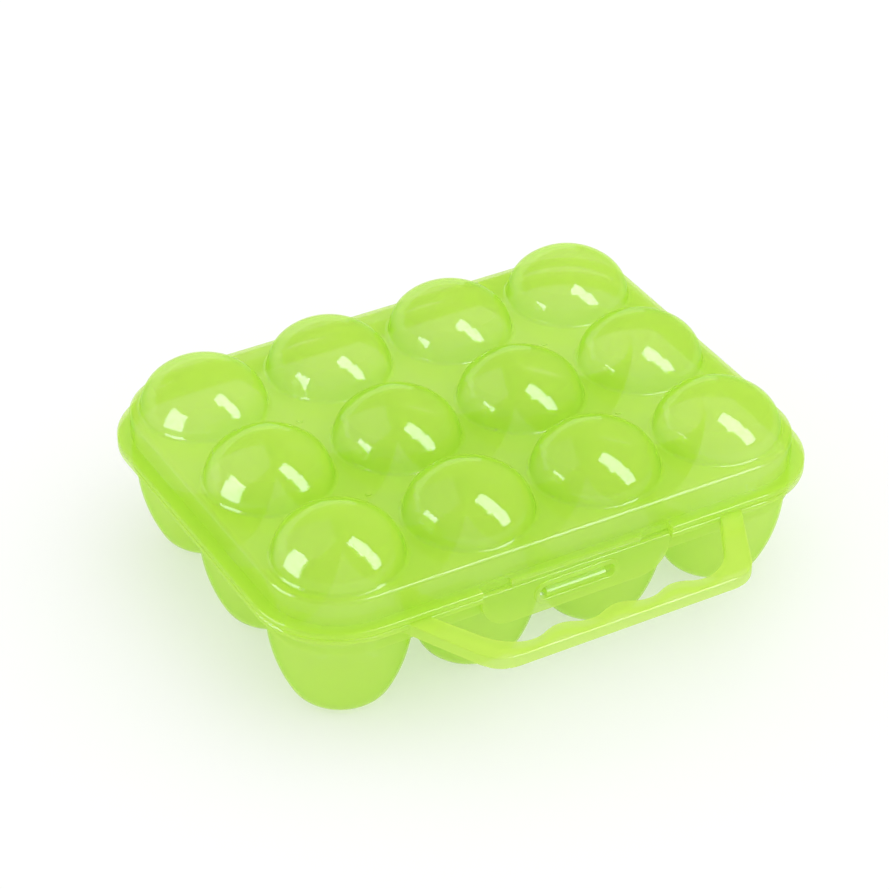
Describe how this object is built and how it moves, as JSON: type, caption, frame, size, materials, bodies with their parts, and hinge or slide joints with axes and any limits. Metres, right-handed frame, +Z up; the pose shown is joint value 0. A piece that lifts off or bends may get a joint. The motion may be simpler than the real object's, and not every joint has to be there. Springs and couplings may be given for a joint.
{
  "type": "egg storage box",
  "caption": "Translucent green plastic egg box: tray with hanging cups and a finger-grip carrying handle, domed hinged lid and a slotted latch flap.",
  "frame": {"origin": "bottom centre of the closed box's bounding box, handle included: the ground under the middle of the footprint", "axes": "+Z up, away from the ground; +X along the long side; the carrying handle and the latch point towards -Y, the lid's hinge is at +Y"},
  "size_m": [0.204, 0.1934, 0.0702],
  "materials": {
    "green_plastic": "gloss"
  },
  "bodies": {
    "tray": {"base": "green_plastic"},
    "cover": {"lid": "green_plastic"},
    "latch": {"latch_flap": "green_plastic"}
  },
  "joints": [
    {"name": "lid_hinge", "type": "hinge", "parent": "tray", "child": "cover", "pos_m": [0, 0.09395, 0.04185], "axis": [-1, 0, 0], "range_deg": [0, 180]},
    {"name": "latch_hinge", "type": "hinge", "parent": "cover", "child": "latch", "pos_m": [0, -0.06425, 0.0421], "axis": [-1, 0, 0], "range_deg": [0, 90]}
  ]
}
